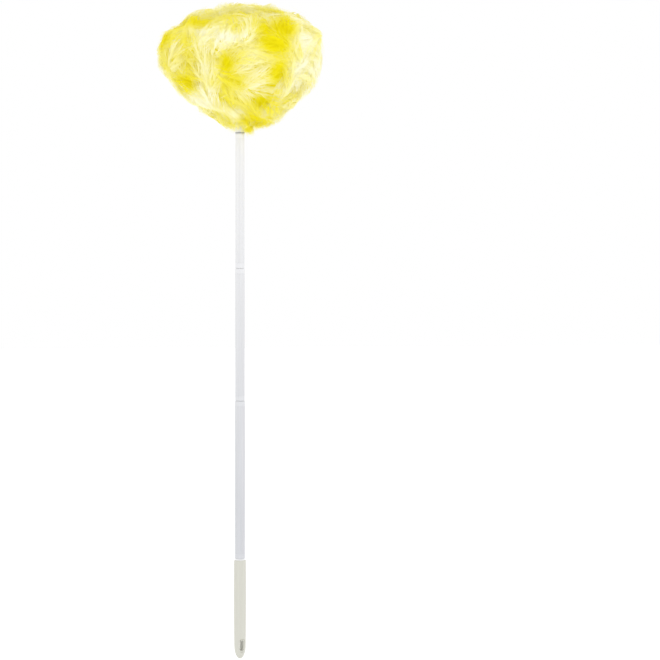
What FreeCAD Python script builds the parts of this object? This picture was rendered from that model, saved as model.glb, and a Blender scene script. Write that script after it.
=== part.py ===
import FreeCAD, Part
import math
import os
from FreeCAD import Vector

# Feather duster on a pole of three screwed sections. Millimetres; +Z runs up the pole from
# the foot of the hand grip at z = 0. The hanging slot goes through the grip along Y.

# Pole tubes, each section a little thinner than the one below, and the inserts in their ends
LOWER_R = 6.9
MIDDLE_R = 6.5
UPPER_R = 6.2
TUBE_WALL = 1.0
COLLAR_HEIGHT = 7.0
PLUG_LENGTH = 16.0
TUBE_EDGE = 0.2
SEAM_EDGE = 0.5
SEAM_GAP = 0.2
LOWER_SEAM_Z = 137.2
MIDDLE_SEAM_Z = 353.3
UPPER_SEAM_Z = 535.1
HEAD_SEAM_Z = 720.3

# Screw thread between two sections, made as level ridges, one for each turn
THREAD_CREST_R = 4.1
THREAD_ROOT_R = 3.3
THREAD_PITCH = 3.0
THREAD_TURNS = 4
THREAD_ROOT_WIDTH = 2.2
THREAD_CREST_WIDTH = 1.0
THREAD_START = 2.4
STUD_LENGTH = 14.0
STUD_TIP_EDGE = 0.8
BORE_R = 4.2
BORE_DEPTH = 17.0
BORE_EDGE = 0.4

# Hand grip: radius at each height, with a long flat down its front and its back
GRIP_OUTLINE = [(45.0, 8.3), (80.0, 8.45), (108.0, 8.4), (134.4, 8.2), (135.0, 7.6)]
GRIP_FLAT_Y = 7.6
GRIP_TOP_Z = 135.0
FOOT_HEIGHT = 18.0
FOOT_R = 7.95
FOOT_STEPS = 9
INSERT_R = 6.0
INSERT_DEPTH = 30.0
GRIP_HOLLOW_R = 5.2
GRIP_HOLLOW_FLOOR_Z = 36.0

# Hanging slot through the foot of the grip, with a flat round its mouth on both faces
SLOT_Z = 18.5
SLOT_WIDTH = 5.0
SLOT_HEIGHT = 14.5
SLOT_EDGE = 0.6
FLAT_WIDTH = 9.4
FLAT_HEIGHT = 19.0
FLAT_Y = 6.0
EDGE_MATCH = 0.01

# Head: collar, stick, end cap
FLANGE_HEIGHT = 1.4
HEAD_PLUG_R = 5.0
HEAD_PLUG_LENGTH = 14.0
HEAD_COLLAR_TOP_Z = 746.0
HEAD_COLLAR_R = 6.6
CORE_R = 4.5
CORE_TOP_Z = 866.0
CAP_R = 6.0
CAP_FOOT_Z = 860.0
CAP_TOP_Z = 873.0

# Feather rows: neck on the stick, thread binding round the neck, fan out to the envelope
ROW_NECK_Z = [746.5, 764.5, 782.5, 800.5, 818.5, 836.5]
NECK_OUTER_R = 5.6
NECK_HEIGHT = 9.0
NECK_BRIDGE = 3.0
FAN_INNER_R = 7.0
BRIDGE_REACH = 1.0
BINDING_INNER_R = 5.65
BINDING_OUTER_R = 6.5
BINDING_START = 1.5
BINDING_HEIGHT = 6.0
ROW_GAP = 0.3
CAP_GAP = 0.3
# Where the joint between one row and the next meets the outside of the head: (radius, z)
ROW_RIM = [(92.0, 790.0), (105.5, 828.0), (102.0, 858.0), (80.0, 878.0), (44.0, 895.0)]
# Outside of the head, half way between its width and its depth: (radius, z), collar to crown
HEAD_OUTLINE = [
    (9.5, 732.2), (21.0, 730.5), (38.0, 734.0), (47.0, 738.4), (55.0, 744.0), (68.0, 755.0),
    (75.5, 762.6), (82.0, 771.0), (93.0, 790.0), (98.8, 800.0), (103.0, 811.0), (105.8, 822.0),
    (106.5, 833.0), (105.8, 843.0), (103.5, 852.0), (99.0, 861.0), (92.0, 869.0), (84.0, 876.0),
    (74.0, 882.0), (49.0, 893.0), (24.0, 898.5), (0.0, 899.8),
]
# Reach of a cutting shape that has to clear every piece
FAR_R = 160.0


def flat_face(points):
    """Flat face in the XZ plane inside a polygon of (radius, z) points."""
    corners = [Vector(radius, 0, z) for radius, z in points]
    return Part.Face(Part.makePolygon(corners + corners[:1]))


def revolve(points):
    """Solid of revolution about Z of a polygon of (radius, z) points."""
    return flat_face(points).revolve(Vector(0, 0, 0), Vector(0, 0, 1), 360)


def cylinder(radius, z_low, z_high):
    """Cylinder on the Z axis."""
    return Part.makeCylinder(radius, z_high - z_low, Vector(0, 0, z_low))


def sleeve(inner_r, outer_r, z_low, z_high, low_edge, high_edge):
    """Ring on the Z axis with a chamfer on each outer edge."""
    return revolve([
        (inner_r, z_low),
        (outer_r - low_edge, z_low),
        (outer_r, z_low + low_edge),
        (outer_r, z_high - high_edge),
        (outer_r - high_edge, z_high),
        (inner_r, z_high),
    ])


def disc(outer_r, z_low, z_high, low_edge, high_edge):
    """Solid disc on the Z axis with a chamfer on each outer edge."""
    return sleeve(0, outer_r, z_low, z_high, low_edge, high_edge)


def male_thread(seam_z):
    """Ridged stud that hangs below a seam."""
    foot = seam_z - STUD_LENGTH
    half_root = THREAD_ROOT_WIDTH / 2
    half_crest = THREAD_CREST_WIDTH / 2
    outline = [
        (0, foot),
        (THREAD_ROOT_R - STUD_TIP_EDGE, foot),
        (THREAD_ROOT_R, foot + STUD_TIP_EDGE),
    ]
    for turn in range(THREAD_TURNS):
        ridge_z = foot + THREAD_START + THREAD_PITCH * turn
        outline += [
            (THREAD_ROOT_R, ridge_z - half_root),
            (THREAD_CREST_R, ridge_z - half_crest),
            (THREAD_CREST_R, ridge_z + half_crest),
            (THREAD_ROOT_R, ridge_z + half_root),
        ]
    return revolve(outline + [(THREAD_ROOT_R, seam_z), (0, seam_z)])


def female_bore(seam_z):
    """Space a stud screws into, open at the seam."""
    bore = cylinder(BORE_R, seam_z - BORE_DEPTH, seam_z)
    mouth = revolve([
        (0, seam_z - BORE_EDGE),
        (BORE_R, seam_z - BORE_EDGE),
        (BORE_R + BORE_EDGE, seam_z),
        (0, seam_z),
    ])
    return bore.fuse(mouth)


def make_stud(outer_r, seam_z):
    """Foot insert of a section: stud below the seam, visible collar, plug up into the tube."""
    collar_top = seam_z + COLLAR_HEIGHT
    collar = disc(outer_r, seam_z, collar_top, SEAM_EDGE, TUBE_EDGE)
    plug = disc(outer_r - TUBE_WALL, collar_top, collar_top + PLUG_LENGTH, 0, SEAM_EDGE)
    return collar.fuse(plug).fuse(male_thread(seam_z)).removeSplitter()


def make_socket(outer_r, top_z):
    """Top insert of a section: visible collar, plug down into the tube, bore for the next stud."""
    collar_foot = top_z - COLLAR_HEIGHT
    collar = disc(outer_r, collar_foot, top_z, TUBE_EDGE, SEAM_EDGE)
    plug = disc(outer_r - TUBE_WALL, collar_foot - PLUG_LENGTH, collar_foot, SEAM_EDGE, 0)
    return collar.fuse(plug).cut(female_bore(top_z)).removeSplitter()


def make_tube(outer_r, seam_z, top_z):
    """Plain tube between a section's two collars."""
    low = seam_z + COLLAR_HEIGHT
    high = top_z - COLLAR_HEIGHT
    return sleeve(outer_r - TUBE_WALL, outer_r, low, high, TUBE_EDGE, TUBE_EDGE)


def make_section(name, outer_r, seam_z, next_seam_z):
    """The three pieces of one pole section, by node name."""
    top_z = next_seam_z - SEAM_GAP
    return {
        name + "_stud": make_stud(outer_r, seam_z),
        name + "_tube": make_tube(outer_r, seam_z, top_z),
        name + "_socket": make_socket(outer_r, top_z),
    }


def grip_body():
    """Outside of the grip as one solid: rounded foot, slight belly, flattened front and back."""
    outline = []
    for step in range(FOOT_STEPS + 1):
        angle = math.pi / 2 * step / FOOT_STEPS
        outline.append((FOOT_R * math.sin(angle), FOOT_HEIGHT * (1 - math.cos(angle))))
    outline += [(radius, z) for z, radius in GRIP_OUTLINE]
    outline.append((0, GRIP_TOP_Z))
    corner = Vector(-FAR_R, -GRIP_FLAT_Y, 0)
    slab = Part.makeBox(2 * FAR_R, 2 * GRIP_FLAT_Y, GRIP_TOP_Z, corner)
    return revolve(outline).common(slab)


def slot_prism(width, height, y_low, y_high):
    """Upright slot shape with round ends, extruded along Y."""
    radius = width / 2
    straight = height / 2 - radius
    left_low = Vector(-radius, y_low, SLOT_Z - straight)
    left_high = Vector(-radius, y_low, SLOT_Z + straight)
    right_high = Vector(radius, y_low, SLOT_Z + straight)
    right_low = Vector(radius, y_low, SLOT_Z - straight)
    top = Vector(0, y_low, SLOT_Z + height / 2)
    foot = Vector(0, y_low, SLOT_Z - height / 2)
    outline = Part.Wire([
        Part.makeLine(left_low, left_high),
        Part.Arc(left_high, top, right_high).toShape(),
        Part.makeLine(right_high, right_low),
        Part.Arc(right_low, foot, left_low).toShape(),
    ])
    return Part.Face(outline).extrude(Vector(0, y_high - y_low, 0))


def soften_slot_mouths(body):
    """Chamfer the slot's edge where it opens on each flat."""
    mouth = []
    for edge in body.Edges:
        box = edge.BoundBox
        on_flat = box.YLength < EDGE_MATCH and abs(abs(box.YMax) - FLAT_Y) < EDGE_MATCH
        in_slot = max(abs(box.XMin), abs(box.XMax)) < SLOT_WIDTH / 2 + EDGE_MATCH
        if on_flat and in_slot:
            mouth.append(edge)
    return body.makeChamfer(SLOT_EDGE, mouth)


def make_grip():
    """Cream hand grip: hollow above the slot, bored at the top for its insert."""
    insert_foot = GRIP_TOP_Z - INSERT_DEPTH
    dome_z = GRIP_HOLLOW_FLOOR_Z + GRIP_HOLLOW_R
    spaces = [
        slot_prism(FLAT_WIDTH, FLAT_HEIGHT, -2 * FLAT_Y, -FLAT_Y),
        slot_prism(FLAT_WIDTH, FLAT_HEIGHT, FLAT_Y, 2 * FLAT_Y),
        slot_prism(SLOT_WIDTH, SLOT_HEIGHT, -2 * FLAT_Y, 2 * FLAT_Y),
        cylinder(INSERT_R, insert_foot, FAR_R),
        cylinder(GRIP_HOLLOW_R, dome_z, insert_foot),
        Part.makeSphere(GRIP_HOLLOW_R, Vector(0, 0, dome_z)),
    ]
    return soften_slot_mouths(grip_body().cut(spaces))


def make_grip_socket():
    """White insert in the grip: thin flange that shows as a ring, plug, bore for the first stud."""
    top_z = LOWER_SEAM_Z - SEAM_GAP
    flange = disc(LOWER_R, GRIP_TOP_Z, top_z, TUBE_EDGE, SEAM_EDGE)
    plug = disc(INSERT_R, GRIP_TOP_Z - INSERT_DEPTH, GRIP_TOP_Z, SEAM_EDGE, 0)
    return flange.fuse(plug).cut(female_bore(top_z)).removeSplitter()


def make_head_stud():
    """Stud under the head: thread, thin flange and plug up into the collar."""
    flange_top = HEAD_SEAM_Z + FLANGE_HEIGHT
    flange = disc(HEAD_COLLAR_R, HEAD_SEAM_Z, flange_top, SEAM_EDGE, TUBE_EDGE)
    plug = disc(HEAD_PLUG_R, flange_top, flange_top + HEAD_PLUG_LENGTH, 0, SEAM_EDGE)
    return flange.fuse(plug).fuse(male_thread(HEAD_SEAM_Z)).removeSplitter()


def make_head_collar():
    """Sleeve that holds the stud's plug below and the feather stick above."""
    foot = HEAD_SEAM_Z + FLANGE_HEIGHT
    shoulder = foot + HEAD_PLUG_LENGTH
    collar = disc(HEAD_COLLAR_R, foot, HEAD_COLLAR_TOP_Z, TUBE_EDGE, SEAM_EDGE)
    collar = collar.cut(cylinder(HEAD_PLUG_R, foot, shoulder))
    return collar.cut(cylinder(CORE_R, shoulder, HEAD_COLLAR_TOP_Z))


def make_core():
    """Stick that the feather rows are tied to."""
    foot = HEAD_SEAM_Z + FLANGE_HEIGHT + HEAD_PLUG_LENGTH
    return disc(CORE_R, foot, CORE_TOP_Z, SEAM_EDGE, SEAM_EDGE)


def make_core_cap():
    """Round-topped cap pushed over the end of the stick."""
    cap = disc(CAP_R, CAP_FOOT_Z, CAP_TOP_Z, SEAM_EDGE, CAP_R / 2)
    return cap.cut(cylinder(CORE_R, CAP_FOOT_Z, CORE_TOP_Z))


def head_face():
    """Half outline of all the feathers as a flat face in the XZ plane."""
    return flat_face(HEAD_OUTLINE + [(0, HEAD_OUTLINE[0][1])])


def joint_height(index, radius):
    """Height at a radius of the cone between rows index and index + 1, counted from 0."""
    rim_r, rim_z = ROW_RIM[index]
    inner_z = ROW_NECK_Z[index + 1]
    slope = (rim_z - inner_z) / (rim_r - FAN_INNER_R)
    return inner_z + slope * (radius - FAN_INNER_R)


def row_wedge(index):
    """Flat face between the cones below and above one row; the crown row closes over the cap."""
    half_gap = ROW_GAP / 2
    if index == 0:
        low_inner = low_outer = HEAD_SEAM_Z
    else:
        low_inner = joint_height(index - 1, FAN_INNER_R) + half_gap
        low_outer = joint_height(index - 1, FAR_R) + half_gap
    points = [(FAN_INNER_R, low_inner), (FAR_R, low_outer)]
    if index == len(ROW_RIM):
        over_cap = CAP_TOP_Z + CAP_GAP
        points += [(FAR_R, HEAD_OUTLINE[-1][1] + FAR_R), (0, HEAD_OUTLINE[-1][1] + FAR_R)]
        points += [(0, over_cap), (FAN_INNER_R, over_cap)]
    else:
        points += [(FAR_R, joint_height(index, FAR_R) - half_gap)]
        points += [(FAN_INNER_R, joint_height(index, FAN_INNER_R) - half_gap)]
    return flat_face(points)


def neck_face(index):
    """Flat face of a row's neck on the stick and the bridge from it over the binding."""
    foot = ROW_NECK_Z[index] + ROW_GAP
    top = foot + NECK_HEIGHT
    return flat_face([
        (CORE_R, foot),
        (NECK_OUTER_R, foot),
        (NECK_OUTER_R, top),
        (FAN_INNER_R + BRIDGE_REACH, top),
        (FAN_INNER_R + BRIDGE_REACH, top + NECK_BRIDGE),
        (CORE_R, top + NECK_BRIDGE),
    ])


def make_feather_row(index, outline):
    """One tied row as a plain solid turned about the stick."""
    fan = outline.common(row_wedge(index))
    profile = fan.fuse(neck_face(index)).removeSplitter().Faces[0]
    return profile.revolve(Vector(0, 0, 0), Vector(0, 0, 1), 360)


def make_binding(index):
    """Turns of thread round the neck of one row."""
    foot = ROW_NECK_Z[index] + BINDING_START
    return sleeve(BINDING_INNER_R, BINDING_OUTER_R, foot, foot + BINDING_HEIGHT, 0, 0)


def make_head():
    """All pieces of the head, by node name."""
    nodes = {
        "head_stud": make_head_stud(),
        "head_collar": make_head_collar(),
        "head_core": make_core(),
        "core_cap": make_core_cap(),
    }
    outline = head_face()
    for index in range(len(ROW_NECK_Z)):
        nodes["feather_row_%d" % (index + 1)] = make_feather_row(index, outline)
        nodes["row_binding_%d" % (index + 1)] = make_binding(index)
    return nodes


def main():
    """Build every node and write each to its own STEP file."""
    nodes = {"grip": make_grip(), "grip_socket": make_grip_socket()}
    nodes.update(make_section("lower", LOWER_R, LOWER_SEAM_Z, MIDDLE_SEAM_Z))
    nodes.update(make_section("middle", MIDDLE_R, MIDDLE_SEAM_Z, UPPER_SEAM_Z))
    nodes.update(make_section("upper", UPPER_R, UPPER_SEAM_Z, HEAD_SEAM_Z))
    nodes.update(make_head())
    os.makedirs("parts", exist_ok=True)
    for node, shape in nodes.items():
        shape.exportStep("parts/%s.step" % node)
        print(node, shape.ShapeType, len(shape.Solids), shape.isValid(), round(shape.Volume, 1))


main()
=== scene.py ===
import math

import bpy
import numpy as np
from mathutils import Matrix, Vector


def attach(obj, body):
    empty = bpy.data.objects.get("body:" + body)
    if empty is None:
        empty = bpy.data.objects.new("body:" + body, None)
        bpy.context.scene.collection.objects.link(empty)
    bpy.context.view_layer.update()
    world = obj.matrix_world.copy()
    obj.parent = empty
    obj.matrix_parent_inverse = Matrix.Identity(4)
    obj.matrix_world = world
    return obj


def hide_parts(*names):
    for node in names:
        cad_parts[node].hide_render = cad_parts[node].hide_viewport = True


# Looks of the feather duster: fine down over every tied row, plastic pole and grip, studio.
# Metres, in the row frame: +Z up the pole, hanging slot along Y.

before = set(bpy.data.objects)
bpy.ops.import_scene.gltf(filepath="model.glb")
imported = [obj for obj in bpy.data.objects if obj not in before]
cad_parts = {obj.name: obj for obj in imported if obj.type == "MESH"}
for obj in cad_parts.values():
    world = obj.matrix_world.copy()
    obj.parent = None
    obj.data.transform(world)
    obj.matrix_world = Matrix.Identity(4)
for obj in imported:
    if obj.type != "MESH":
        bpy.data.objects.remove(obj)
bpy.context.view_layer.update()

SEED = 319
FULL_TURN = 2 * math.pi
GOLDEN_ANGLE = 2.399963
TINY = 1e-9

# Head: outside of the feathers in the wide direction, (radius, height), collar to crown
HEAD_OUTLINE = np.array([
    (0.008, 0.7330), (0.022, 0.7305), (0.040, 0.7340), (0.058, 0.7440), (0.072, 0.7550),
    (0.086, 0.7710), (0.098, 0.7900), (0.108, 0.8110), (0.112, 0.8330), (0.109, 0.8520),
    (0.098, 0.8670), (0.080, 0.8780), (0.054, 0.8860), (0.026, 0.8900), (0.000, 0.8910),
])
OUTLINE_STEPS = np.linalg.norm(np.diff(HEAD_OUTLINE, axis=0), axis=1)
OUTLINE_LENGTHS = np.concatenate([[0], np.cumsum(OUTLINE_STEPS)])
OUTLINE_LENGTH = OUTLINE_LENGTHS[-1]
SLOPE_REACH = 0.012
# The head is oval: its wide direction is turned about the stick, and it is not as deep as wide
HEAD_DEPTH_RATIO = 0.9
HEAD_TURN = math.radians(-27)
STICK_R = 0.0072
# Shares of the outline's length where one row's feathers end and the next row's begin
ROW_SHARES = (0.0, 0.375, 0.51, 0.61, 0.71, 0.85, 1.0)
# Soft dents and swellings of the head: share, angle in degrees from its right end, spread
# in share and in degrees, height
HEAD_LUMPS = (
    (0.68, 180, 0.09, 50, -0.013),
    (0.56, 178, 0.05, 22, 0.003),
    (0.24, 180, 0.12, 60, -0.010),
    (0.11, 205, 0.07, 65, -0.014),
    (0.80, 0, 0.06, 40, 0.004),
    (0.45, 250, 0.05, 22, -0.006),
    (0.60, 300, 0.05, 20, -0.006),
    (0.38, 315, 0.05, 22, -0.005),
    (0.70, 250, 0.04, 20, -0.005),
)
# Deep lemon (negative) and pale (positive) parts, partly dye and partly painted shade in gaps and
# painted highlight on clumps: share, angle in degrees, spreads, strength
HEAD_DYE_AND_LIGHT_PATCHES = (
    (0.60, 306, 0.060, 12, -0.95),
    (0.52, 297, 0.035, 10, -0.80),
    (0.42, 262, 0.040, 7, -0.85),
    (0.34, 214, 0.040, 12, -0.80),
    (0.66, 222, 0.028, 24, -0.85),
    (0.56, 196, 0.030, 14, -0.85),
    (0.68, 262, 0.050, 22, -0.55),
    (0.08, 310, 0.070, 40, -0.60),
    (0.40, 304, 0.060, 9, -0.90),
    (0.50, 331, 0.150, 12, 0.35),
    (0.585, 240, 0.022, 12, 0.55),
    (0.29, 292, 0.050, 16, 0.35),
    (0.55, 266, 0.020, 10, 0.45),
    (0.50, 222, 0.040, 14, -0.25),
    (0.48, 282, 0.030, 8, 0.30),
    (0.48, 110, 0.080, 25, -0.50),
    (0.66, 60, 0.060, 22, -0.45),
    (0.30, 40, 0.080, 25, 0.35),
    (0.56, 150, 0.060, 20, 0.35),
)

# Waves over the head: radians for each radian round it, radians over the outline, phase.
# The swirl's waves are (size in radians, wave).
LUMP_WAVES = ((7, 11, 0), (-2, 26, 1.3))
LUMP_RIPPLE = 0.0022
PATCH_WAVES = ((3, 17, 0.8), (-4, 31, 0))
PATCH_RIPPLE = 0.2
SWIRL_WAVES = ((1.1, (2, 9, 0.6)), (0.45, (5, -13, 2.1)), (0.3, (3, 21, 0)))

# Locks of down: each is a curved spine with fine barbs leaving both sides
LOCKS_PER_ROW = (136, 104, 80, 70, 66, 30)
BARBS_PER_LOCK = 132
LOCK_LENGTH = 0.05
LOCK_LENGTH_RANGE = (0.7, 1.25)
LOCK_HALF_WIDTH = 0.006
LOCK_THICKNESS = 0.007
LOCK_DEPTHS = (-0.011, -0.001)
HEADING_SPREAD = 0.6
BEND_SPREAD = 0.5

# Barbs: ribbons that leave the spine at an angle and curl back towards the lock's end
BARB_POINTS = 6
BARB_STATIONS = np.linspace(0, 1, BARB_POINTS)[None, :]
BARB_LENGTH = 0.027
BARB_LENGTH_RANGE = (0.6, 1.3)
BARB_WIDTH = 0.0006
BARB_WIDTH_RANGE = (0.7, 1.3)
BARB_TIP_WIDTH = 0.25
BARB_SPREAD = (0.05, 0.8)
BARB_STRAY = 0.1
CURL_BACK = 0.8
TIP_DIP = 0.8
ROOTS_BESIDE_POWER = 0.8
LIFT_NOISE = 0.0006
LIFT_POWER = 1.5
TAME_LIFT = (-0.001, 0.0008)
FACING_NOISE = 0.15
MOST_LIFT = 0.0075
SMALLEST_TURNING_R = 0.03

# Flyaways: the share of barbs that stand off from their lock
FLYAWAY_SHARE = 0.16
FLYAWAY_STRAY = 0.7
FLYAWAY_LIFT = (0.001, 0.008)
FLYAWAY_WIDTH = 0.5

# How pale a barb is: dye of its lock, towards its tip, and for each metre it stands up, which is
# painted light on raised barbs and painted shade on sunken ones
PALE_LEAST = 0.22
PALE_BY_LOCK = 0.76
PALE_BY_TIP = 0.18
PAINTED_LIGHT_BY_LIFT = 9
PAINTED_LIGHT_LIFT_FROM = -0.002
PALE_NOISE = 0.05

# Wisps that hang round the collar, most of them in one tuft
WISPS = 1100
TUFT_WISPS = 640
TUFT_ANGLE = math.radians(-18)
TUFT_SPREAD = 0.3
TUFT_DROP = (0.010, 0.0185)
TUFT_OUT = (0.008, 0.017)
TUFT_PALE = 0.12
WISP_DROP = (0.004, 0.015)
WISP_OUT = (0.008, 0.014)
WISP_PALE = 0.55
WISP_WIDTH_RANGE = (0.5, 0.9)
WISP_FLARE = 0.003
WISP_TOP_Z = 0.7365
WISP_CLEAR_R = 0.0078
WISP_NOISE = 0.0015
WISP_SWING = 0.25
WISP_FACING_NOISE = 0.004
WISP_PALE_BY_TIP = 0.15
WISP_PALE_NOISE = 0.1
WISP_SEED = 100

# Packed underdown that the locks grow over
UNDERDOWN_DEPTH = 0.014
UNDERDOWN_WAVES = ((19, 40, 0), (-7, 55, 0))
UNDERDOWN_RIPPLE = 0.002
UNDERDOWN_LAP = 0.01
UNDERDOWN_ROUND = 96
UNDERDOWN_UP = 14

# Down's colour by how pale it is (dye, with painted light and shade carried in the pale values),
# how much it glows as painted light, and how much light comes through
DOWN_DYE_AND_SHADE = (
    (0.08, (0.84, 0.775, 0.003)),
    (0.34, (0.85, 0.80, 0.11)),
    (0.60, (0.87, 0.83, 0.31)),
    (0.84, (0.89, 0.87, 0.58)),
    (1.00, (0.91, 0.90, 0.76)),
)
DOWN_PAINTED_GLOW = 0.19
DOWN_THROUGH = 0.35

# Plastic: heights between which painted light makes the pole paler towards the top, and how far
# streaks are drawn out along Z
PAINTED_LIGHT_FROM_Z = 0.20
PAINTED_LIGHT_TO_Z = 0.72
STREAK_SCALE = (260, 260, 6)
STREAK_NOISE = (0.35, 0.65)
# Looks of the CAD nodes: colour low on the pole (painted shade) and high on it (painted light),
# roughness, strength of streaks
LOOKS = {
    "tube_plastic": ((0.585, 0.595, 0.625), (0.79, 0.79, 0.80), 0.35, 0.07),
    "fitting_plastic": ((0.60, 0.61, 0.64), (0.81, 0.81, 0.82), 0.35, 0.03),
    # pale grip socket flange gives the bright line above the grip: partly white plastic, partly
    # painted highlight
    "highlight_ring_plastic": ((0.86, 0.86, 0.87), (0.86, 0.86, 0.87), 0.35, 0.02),
    # the grey head stud gives the dark line at the head seam: partly grey plastic, partly painted
    # shade
    "seam_shade_grey_plastic": ((0.36, 0.36, 0.37), (0.36, 0.36, 0.37), 0.35, 0.02),
    "grip_plastic": ((0.60, 0.597, 0.535), (0.60, 0.597, 0.535), 0.4, 0.03),
    "stick_wood": ((0.55, 0.36, 0.18), (0.55, 0.36, 0.18), 0.6, 0.3),
    "binding_thread": ((0.75, 0.62, 0.08), (0.75, 0.62, 0.08), 0.8, 0.3),
}
NODE_LOOKS = {
    "grip": "grip_plastic",
    # grip socket in pale plastic: partly its colour, partly a painted highlight on the grip's rim
    "grip_socket": "highlight_ring_plastic",
    # head stud in grey: partly its plastic, partly painted shade at the head seam
    "head_stud": "seam_shade_grey_plastic",
    "head_core": "stick_wood",
}

# Studio: floor, and area lights as name, azimuth in degrees, height, power, size
FLOOR_SIZE = 80
FLOOR_Z = -0.004
FLOOR_WHITE = (0.93, 0.93, 0.93, 1)
FLOOR_GLOW = 0.2
WHITE = (1, 1, 1, 1)
LIGHTS = (
    ("key", 10, 1.25, 2.6, 0.7),
    ("fill", -75, 1.2, 1.2, 0.8),
    ("back", 160, 1.3, 1.6, 0.8),
)
LIGHT_DISTANCE = 1.3
LIGHT_AIM = Vector((0, 0, 0.6))

# Camera: level, with the height of the view and of its centre at the pole
CAMERA_AZIMUTH = math.radians(-27)
VIEW_HEIGHT = 0.9055
VIEW_CENTRE_Z = 0.4507
POLE_LEFT_OF_CENTRE = 0.1235
LENS_MM = 100.0
SENSOR_MM = 36.0


def along_outline(distance):
    """Radius and height at a distance along the outline."""
    radius = np.interp(distance, OUTLINE_LENGTHS, HEAD_OUTLINE[:, 0])
    height = np.interp(distance, OUTLINE_LENGTHS, HEAD_OUTLINE[:, 1])
    return radius, height


def outline_point(share):
    """Radius, height and outward normal (radial, up) at a share of the outline's length."""
    distance = np.clip(share, 0, 1) * OUTLINE_LENGTH
    radius, height = along_outline(distance)
    next_radius, next_height = along_outline(np.clip(distance + SLOPE_REACH, 0, OUTLINE_LENGTH))
    last_radius, last_height = along_outline(np.clip(distance - SLOPE_REACH, 0, OUTLINE_LENGTH))
    d_radius = next_radius - last_radius
    d_height = next_height - last_height
    size = np.hypot(d_radius, d_height) + TINY
    return radius, height, d_height / size, -d_radius / size


def wave(numbers, share, angle):
    """Sine over the head; numbers are as for LUMP_WAVES."""
    waves_round, waves_along, phase = numbers
    return np.sin(waves_round * angle + waves_along * share + phase)


def ripple(waves, share, angle):
    """Product of two crossing waves."""
    return wave(waves[0], share, angle) * wave(waves[1], share, angle)


def spots(table, share, angle):
    """Sum of soft spots at each place; the table is as for HEAD_LUMPS."""
    total = np.zeros(np.broadcast(share, angle).shape)
    for at_share, at_angle, wide_share, wide_angle, strength in table:
        away = np.degrees(np.angle(np.exp(1j * (angle - math.radians(at_angle)))))
        off_centre = ((share - at_share) / wide_share) ** 2 + (away / wide_angle) ** 2
        total += strength * np.exp(-off_centre)
    return total


def lumps(share, angle):
    """How far the head swells (or dents, when negative) at each place."""
    return spots(HEAD_LUMPS, share, angle) + LUMP_RIPPLE * ripple(LUMP_WAVES, share, angle)


def dye_and_light_patches(share, angle):
    """How much paler (or deeper, when negative) the down is at each place: partly dye, partly
    painted shade and painted highlight.
    """
    return spots(HEAD_DYE_AND_LIGHT_PATCHES, share, angle) + PATCH_RIPPLE * ripple(PATCH_WAVES, share, angle)


def turned(x, y):
    """Turn about the stick from the head's own axes to the row's."""
    cos, sin = math.cos(HEAD_TURN), math.sin(HEAD_TURN)
    return x * cos - y * sin, x * sin + y * cos


def head_surface(share, angle, lift):
    """Points on the head's outside, pushed out by lift along the normal, and the normals there."""
    radius, height, n_radial, n_up = outline_point(share)
    lift = lift + lumps(share, angle)
    radius = np.maximum(radius + lift * n_radial, STICK_R)
    height = height + lift * n_up
    x, y = turned(radius * np.cos(angle), radius * np.sin(angle) * HEAD_DEPTH_RATIO)
    n_x, n_y = turned(n_radial * np.cos(angle), n_radial * np.sin(angle))
    return np.stack([x, y, height], axis=-1), np.stack([n_x, n_y, n_up], axis=-1)


def ribbons(paths, widths, sides):
    """Vertices and faces of flat ribbons along paths (count, points, 3); sides point across."""
    count, points, _ = paths.shape
    half = widths[..., None] * sides / 2
    vertices = np.stack([paths - half, paths + half], axis=2).reshape(-1, 3)
    base = (np.arange(count) * points * 2)[:, None] + (np.arange(points - 1) * 2)[None, :]
    faces = np.stack([base, base + 1, base + 3, base + 2], axis=-1).reshape(-1, 4)
    return vertices, faces


def mesh_object(name, vertices, faces, attributes):
    """Mesh object from arrays with one float attribute per entry, smooth shaded."""
    mesh = bpy.data.meshes.new(name)
    mesh.vertices.add(len(vertices))
    mesh.vertices.foreach_set("co", vertices.astype(np.float32).ravel())
    mesh.loops.add(faces.size)
    mesh.loops.foreach_set("vertex_index", faces.astype(np.int32).ravel())
    mesh.polygons.add(len(faces))
    loop_start = np.arange(len(faces)) * faces.shape[1]
    mesh.polygons.foreach_set("loop_start", loop_start.astype(np.int32))
    mesh.polygons.foreach_set("use_smooth", np.ones(len(faces), dtype=bool))
    mesh.update(calc_edges=True)
    for key, values in attributes.items():
        layer = mesh.attributes.new(key, "FLOAT", "POINT")
        layer.data.foreach_set("value", values.astype(np.float32).ravel())
    obj = bpy.data.objects.new(name, mesh)
    bpy.context.scene.collection.objects.link(obj)
    return obj


def swirl(share, angle):
    """Slow waves over the head that bend neighbouring locks the same way, in radians."""
    return sum(size * wave(numbers, share, angle) for size, numbers in SWIRL_WAVES)


def start_at_zero(steps):
    """Running sum along each strand that starts at 0."""
    return np.concatenate([np.zeros((len(steps), 1)), np.cumsum(steps, axis=1)], axis=1)


def turning_radius(share):
    """Radius that turns a distance round the head into an angle, never so small that barbs spin."""
    return np.maximum(outline_point(share)[0], SMALLEST_TURNING_R)


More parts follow.
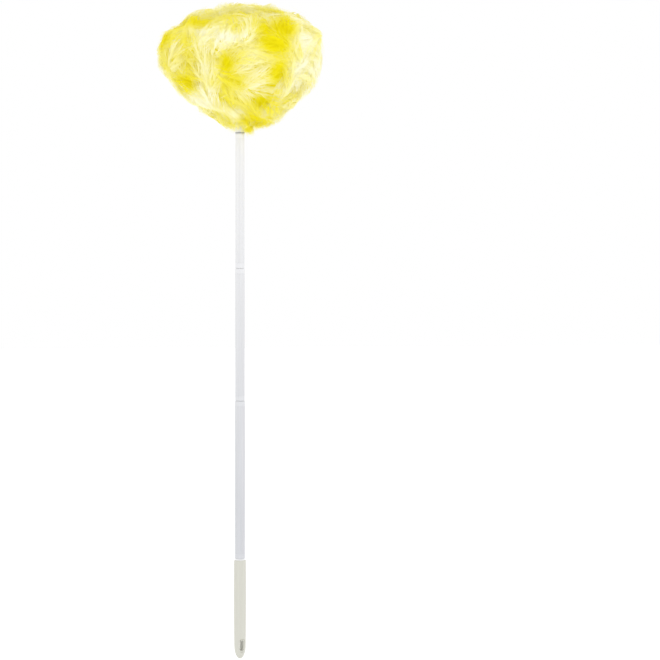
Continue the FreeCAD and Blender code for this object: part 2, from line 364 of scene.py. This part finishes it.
def scatter_locks(rng, row):
    """Place, heading and make of each lock of one row, one entry for each of its barbs."""
    count = LOCKS_PER_ROW[row]
    low, high = ROW_SHARES[row], ROW_SHARES[row + 1]
    share = low + (high - low) * rng.random(count)
    angle = (np.arange(count) + rng.random(count)) * GOLDEN_ANGLE
    locks = {
        "share": share,
        "angle": angle,
        "heading": swirl(share, angle) + rng.normal(0, HEADING_SPREAD, count),
        "length": LOCK_LENGTH * rng.uniform(*LOCK_LENGTH_RANGE, count),
        "bend": rng.normal(0, BEND_SPREAD, count),
        "tone": rng.random(count),
        "depth": rng.uniform(*LOCK_DEPTHS, count),
    }
    return {key: np.repeat(values, BARBS_PER_LOCK) for key, values in locks.items()}


def barb_roots(lock, along, beside):
    """Share and angle of each barb's root, along and beside its lock's spine, which bends."""
    course = lock["heading"] + lock["bend"] * along / 2
    reach = (along - 0.5) * lock["length"]
    reach_up = reach * np.cos(course) - LOCK_HALF_WIDTH * beside * np.sin(course)
    reach_across = reach * np.sin(course) + LOCK_HALF_WIDTH * beside * np.cos(course)
    share = lock["share"] + reach_up / OUTLINE_LENGTH
    angle = lock["angle"] + reach_across / turning_radius(lock["share"])
    return share, angle


def barb_courses(root_share, root_angle, length, turn, spread):
    """Share and angle along barbs that leave their lock sideways and curl back to its heading."""
    t = BARB_STATIONS[:, 1:]
    direction = turn[:, None] + spread[:, None] * (1 - CURL_BACK * t)
    step = length[:, None] / (BARB_POINTS - 1)
    share = root_share[:, None] + start_at_zero(step * np.cos(direction)) / OUTLINE_LENGTH
    across = start_at_zero(step * np.sin(direction))
    angle = root_angle[:, None] + across / turning_radius(share)
    # a barb that passes over the crown comes down on the far side
    over = share > 1
    share = np.where(over, 2 - share, share)
    angle = np.where(over, angle + math.pi, angle)
    return share, angle


def barb_lifts(rng, lock, along, beside, flyaway):
    """Height along each barb: the lock is highest along its spine and tucks in at its edges."""
    t = BARB_STATIONS
    count = len(along)
    crest = (1 - beside ** 2) * np.sqrt(np.clip(np.sin(math.pi * along), 0, 1))
    round_over = (1 - TIP_DIP * t ** 2) * crest[:, None]
    lift = lock["depth"][:, None] + LOCK_THICKNESS * round_over
    lift = lift + rng.normal(0, LIFT_NOISE, count)[:, None]
    loose = np.where(flyaway, rng.uniform(*FLYAWAY_LIFT, count), rng.normal(*TAME_LIFT, count))
    return lift + loose[:, None] * t ** LIFT_POWER


def barb_ribbons(rng, paths, facing, width_range, share_of_width):
    """Ribbons along the paths that thin to their tips: vertices and faces."""
    tangent = np.gradient(paths, axis=1)
    tangent /= np.linalg.norm(tangent, axis=2, keepdims=True) + TINY
    sides = np.cross(tangent, facing)
    sides /= np.linalg.norm(sides, axis=2, keepdims=True) + TINY
    thinning = 1 - (1 - BARB_TIP_WIDTH) * BARB_STATIONS ** 2
    width = BARB_WIDTH * thinning * rng.uniform(*width_range, len(paths))[:, None]
    return ribbons(paths, width * share_of_width, sides)


def for_vertices(pale):
    """How pale each ribbon vertex is, from how pale the path points are."""
    return np.repeat(np.clip(pale, 0, 1).reshape(-1), 2)


def down_strands(row):
    """Barbs of one row's locks: ribbon vertices, faces and how pale each vertex is."""
    rng = np.random.default_rng(SEED + row)
    lock = scatter_locks(rng, row)
    count = len(lock["share"])

    along = rng.random(count)
    side = np.where(rng.random(count) < 0.5, -1.0, 1.0)
    beside = side * rng.random(count) ** ROOTS_BESIDE_POWER
    root_share, root_angle = barb_roots(lock, along, beside)

    spread = side * rng.uniform(*BARB_SPREAD, count)
    flyaway = rng.random(count) < FLYAWAY_SHARE
    longest_amid = 0.7 + 1.2 * along * (1 - along)
    length = BARB_LENGTH * rng.uniform(*BARB_LENGTH_RANGE, count) * longest_amid
    stray = rng.normal(0, np.where(flyaway, FLYAWAY_STRAY, BARB_STRAY))
    turn = lock["heading"] + lock["bend"] * along + stray
    share, angle = barb_courses(root_share, root_angle, length, turn, spread)
    lift = barb_lifts(rng, lock, along, beside, flyaway)

    paths, normals = head_surface(share, angle, np.minimum(lift, MOST_LIFT))
    facing = normals + rng.normal(0, FACING_NOISE, (count, 1, 3))
    share_of_width = np.where(flyaway, FLYAWAY_WIDTH, 1.0)[:, None]
    vertices, faces = barb_ribbons(rng, paths, facing, BARB_WIDTH_RANGE, share_of_width)

    # deep and pale patches: partly dye, partly painted shade in gaps and painted highlight on
    # clumps
    pale = PALE_LEAST + PALE_BY_LOCK * lock["tone"][:, None] + dye_and_light_patches(share, angle)
    # paler the higher a barb stands: painted light on the outside of the head, painted shade deeper
    # in
    pale = pale + PALE_BY_TIP * BARB_STATIONS + PAINTED_LIGHT_BY_LIFT * (lift - PAINTED_LIGHT_LIFT_FROM)
    pale = pale + rng.normal(0, PALE_NOISE, count)[:, None]
    return vertices, faces, for_vertices(pale)


def collar_wisps():
    """Fine barbs that hang from the lowest row round the collar, thickest in one tuft."""
    rng = np.random.default_rng(SEED + WISP_SEED)
    t = BARB_STATIONS
    in_tuft = np.arange(WISPS) < TUFT_WISPS
    tuft_angle = rng.normal(TUFT_ANGLE, TUFT_SPREAD, WISPS)
    angle = np.where(in_tuft, tuft_angle, rng.uniform(0, FULL_TURN, WISPS))
    drop = np.where(in_tuft, rng.uniform(*TUFT_DROP, WISPS), rng.uniform(*WISP_DROP, WISPS))
    out = np.where(in_tuft, rng.uniform(*TUFT_OUT, WISPS), rng.uniform(*WISP_OUT, WISPS))
    flare = WISP_FLARE + rng.normal(0, WISP_NOISE, WISPS)
    radius = np.maximum(out[:, None] + flare[:, None] * t ** 2, WISP_CLEAR_R)
    height = WISP_TOP_Z + rng.normal(0, WISP_NOISE, WISPS)[:, None] - drop[:, None] * t
    swing = angle[:, None] + rng.normal(0, WISP_SWING, WISPS)[:, None] * t ** 2
    x, y = turned(radius * np.cos(swing), radius * np.sin(swing))
    paths = np.stack([x, y, height], axis=-1)
    outward = paths * np.array([1, 1, 0])
    facing = outward + rng.normal(0, WISP_FACING_NOISE, (WISPS, 1, 3))
    vertices, faces = barb_ribbons(rng, paths, facing, WISP_WIDTH_RANGE, 1)
    pale = np.where(in_tuft, TUFT_PALE, WISP_PALE)[:, None] + WISP_PALE_BY_TIP * t
    pale = pale + rng.normal(0, WISP_PALE_NOISE, WISPS)[:, None]
    return vertices, faces, for_vertices(pale)


def underdown(row):
    """Lumpy inner surface of one row, under the locks: vertices and faces."""
    low, high = ROW_SHARES[row], ROW_SHARES[row + 1]
    share, angle = np.meshgrid(
        np.linspace(max(low - UNDERDOWN_LAP, 0), high, UNDERDOWN_UP),
        np.linspace(0, FULL_TURN, UNDERDOWN_ROUND, endpoint=False),
        indexing="ij",
    )
    bumps = UNDERDOWN_RIPPLE * ripple(UNDERDOWN_WAVES, share, angle)
    vertices, _ = head_surface(share, angle, bumps - UNDERDOWN_DEPTH)
    ring = np.arange(UNDERDOWN_ROUND)
    after = (ring + 1) % UNDERDOWN_ROUND
    base = np.arange(UNDERDOWN_UP - 1)[:, None] * UNDERDOWN_ROUND
    above = base + UNDERDOWN_ROUND
    faces = np.stack([base + ring, base + after, above + after, above + ring], axis=-1)
    return vertices.reshape(-1, 3), faces.reshape(-1, 4)


def make_row(row):
    """One row of down over its packed underdown, in place of the row's plain CAD solid."""
    vertices, faces, pale = down_strands(row)
    if row == 0:
        more_vertices, more_faces, more_pale = collar_wisps()
        faces = np.concatenate([faces, more_faces + len(vertices)])
        vertices = np.concatenate([vertices, more_vertices])
        pale = np.concatenate([pale, more_pale])
    inner_vertices, inner_faces = underdown(row)
    obj = mesh_object(
        f"down_row_{row + 1}",
        np.concatenate([vertices, inner_vertices]),
        np.concatenate([faces, inner_faces + len(vertices)]),
        # the underdown takes pale 0, the deepest lemon: partly dye, partly painted shade inside the
        # head
        {"pale": np.concatenate([pale, np.zeros(len(inner_vertices))])},
    )
    obj.data.materials.append(down_material())
    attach(obj, "head")
    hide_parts(f"feather_row_{row + 1}")
    return obj


def node_material(name):
    """New node material with its node tree and its Principled node."""
    material = bpy.data.materials.new(name)
    material.use_nodes = True
    tree = material.node_tree
    return material, tree, tree.nodes["Principled BSDF"]


def attribute(tree, name):
    """Output of a mesh attribute."""
    node = tree.nodes.new("ShaderNodeAttribute")
    node.attribute_name = name
    return node.outputs["Fac"]


def ramp(tree, source, stops):
    """Colour ramp fed by source; stops are (position, colour)."""
    node = tree.nodes.new("ShaderNodeValToRGB")
    elements = node.color_ramp.elements
    while len(elements) < len(stops):
        elements.new(0.5)
    for element, (position, colour) in zip(elements, stops):
        element.position = position
        element.color = (*colour, 1)
    tree.links.new(source, node.inputs["Fac"])
    return node.outputs["Color"]


def down_material():
    """Dyed down with painted light and shade: lemon where it is deep, nearly white at the palest
    tips, lit through, and glowing in its own colour as painted light.
    """
    made = bpy.data.materials.get("down_yellow")
    if made:
        return made
    material, tree, shader = node_material("down_yellow")
    colour = ramp(tree, attribute(tree, "pale"), DOWN_DYE_AND_SHADE)
    tree.links.new(colour, shader.inputs["Base Color"])
    # the down glows in its own colour: painted light that lifts its shade
    tree.links.new(colour, shader.inputs["Emission Color"])
    shader.inputs["Emission Strength"].default_value = DOWN_PAINTED_GLOW
    shader.inputs["Roughness"].default_value = 0.7
    shader.inputs["Specular IOR Level"].default_value = 0.2
    translucent = tree.nodes.new("ShaderNodeBsdfTranslucent")
    tree.links.new(colour, translucent.inputs["Color"])
    both = tree.nodes.new("ShaderNodeMixShader")
    both.inputs["Fac"].default_value = DOWN_THROUGH
    tree.links.new(shader.outputs[0], both.inputs[1])
    tree.links.new(translucent.outputs[0], both.inputs[2])
    tree.links.new(both.outputs[0], tree.nodes["Material Output"].inputs["Surface"])
    return material


def painted_light_colour(tree, where, shaded_colour, lit_colour):
    """Colour that goes from the low colour to the high colour up the pole: painted light that pales
    the pole towards the top.
    """
    split = tree.nodes.new("ShaderNodeSeparateXYZ")
    tree.links.new(where, split.inputs["Vector"])
    climb = tree.nodes.new("ShaderNodeMapRange")
    climb.inputs["From Min"].default_value = PAINTED_LIGHT_FROM_Z
    climb.inputs["From Max"].default_value = PAINTED_LIGHT_TO_Z
    tree.links.new(split.outputs["Z"], climb.inputs["Value"])
    return ramp(tree, climb.outputs["Result"], [(0.0, shaded_colour), (1.0, lit_colour)])


def streak_shade(tree, where, streak):
    """Greys from 1 - streak to 1 in streaks drawn out along Z."""
    stretch = tree.nodes.new("ShaderNodeMapping")
    stretch.inputs["Scale"].default_value = STREAK_SCALE
    tree.links.new(where, stretch.inputs["Vector"])
    noise = tree.nodes.new("ShaderNodeTexNoise")
    noise.inputs["Scale"].default_value = 1.0
    noise.inputs["Detail"].default_value = 3.0
    tree.links.new(stretch.outputs["Vector"], noise.inputs["Vector"])
    shade = 1 - streak
    stops = [(STREAK_NOISE[0], (shade, shade, shade)), (STREAK_NOISE[1], (1, 1, 1))]
    return ramp(tree, noise.outputs["Fac"], stops)


def plastic_material(name, shaded_colour, lit_colour, roughness, streak):
    """Moulded plastic with painted light that pales it up the pole, and faint drawn streaks along
    its length.
    """
    material, tree, shader = node_material(name)
    where = tree.nodes.new("ShaderNodeTexCoord").outputs["Object"]
    tint = tree.nodes.new("ShaderNodeMix")
    tint.data_type = "RGBA"
    tint.blend_type = "MULTIPLY"
    tint.inputs["Factor"].default_value = 1.0
    # painted light: the plastic's colour pales from the low colour to the high colour up the pole
    tree.links.new(painted_light_colour(tree, where, shaded_colour, lit_colour), tint.inputs["A"])
    tree.links.new(streak_shade(tree, where, streak), tint.inputs["B"])
    tree.links.new(tint.outputs["Result"], shader.inputs["Base Color"])
    shader.inputs["Roughness"].default_value = roughness
    return material


def look_of(node):
    """Name of a CAD node's look."""
    if node.startswith("row_binding"):
        return "binding_thread"
    if node.endswith("_tube"):
        return "tube_plastic"
    return NODE_LOOKS.get(node, "fitting_plastic")


def dress_frame():
    """Materials for every CAD node; the feather rows are replaced by down instead."""
    materials = {name: plastic_material(name, *look) for name, look in LOOKS.items()}
    for node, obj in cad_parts.items():
        if not node.startswith("feather_row"):
            obj.data.materials.clear()
            obj.data.materials.append(materials[look_of(node)])


def make_floor():
    """Wide pale floor just under the foot of the grip."""
    bpy.ops.mesh.primitive_plane_add(size=FLOOR_SIZE, location=(0, 0, FLOOR_Z))
    floor = bpy.context.object
    floor.name = "floor"
    material, tree, shader = node_material("floor_white")
    shader.inputs["Base Color"].default_value = FLOOR_WHITE
    shader.inputs["Emission Color"].default_value = WHITE
    shader.inputs["Emission Strength"].default_value = FLOOR_GLOW
    shader.inputs["Roughness"].default_value = 0.9
    floor.data.materials.append(material)


def make_world():
    """Plain white surroundings."""
    world = bpy.data.worlds.new("studio")
    bpy.context.scene.world = world
    world.use_nodes = True
    background = world.node_tree.nodes["Background"]
    background.inputs["Color"].default_value = WHITE
    background.inputs["Strength"].default_value = 1.0


def make_light(name, azimuth, height, power, size):
    """Large soft light that looks at the upper part of the pole."""
    data = bpy.data.lights.new(name, "AREA")
    data.energy = power
    data.size = size
    lamp = bpy.data.objects.new(name, data)
    bpy.context.scene.collection.objects.link(lamp)
    angle = math.radians(azimuth)
    lamp.location = (LIGHT_DISTANCE * math.sin(angle), -LIGHT_DISTANCE * math.cos(angle), height)
    lamp.rotation_euler = (LIGHT_AIM - lamp.location).to_track_quat("-Z", "Y").to_euler()


def make_camera():
    """Level camera at the photograph's angle, with the duster left of centre."""
    data = bpy.data.cameras.new("camera")
    data.lens = LENS_MM
    data.sensor_width = SENSOR_MM
    camera = bpy.data.objects.new("camera", data)
    bpy.context.scene.collection.objects.link(camera)
    away = VIEW_HEIGHT * LENS_MM / SENSOR_MM
    back = Vector((math.sin(CAMERA_AZIMUTH), -math.cos(CAMERA_AZIMUTH), 0))
    right = Vector((math.cos(CAMERA_AZIMUTH), math.sin(CAMERA_AZIMUTH), 0))
    camera.location = back * away + right * POLE_LEFT_OF_CENTRE + Vector((0, 0, VIEW_CENTRE_Z))
    camera.rotation_euler = (-back).to_track_quat("-Z", "Y").to_euler()
    bpy.context.scene.camera = camera


dress_frame()
for row_number in range(len(LOCKS_PER_ROW)):
    make_row(row_number)
make_floor()
make_world()
for light in LIGHTS:
    make_light(*light)
make_camera()
bpy.context.scene.view_settings.view_transform = "Standard"
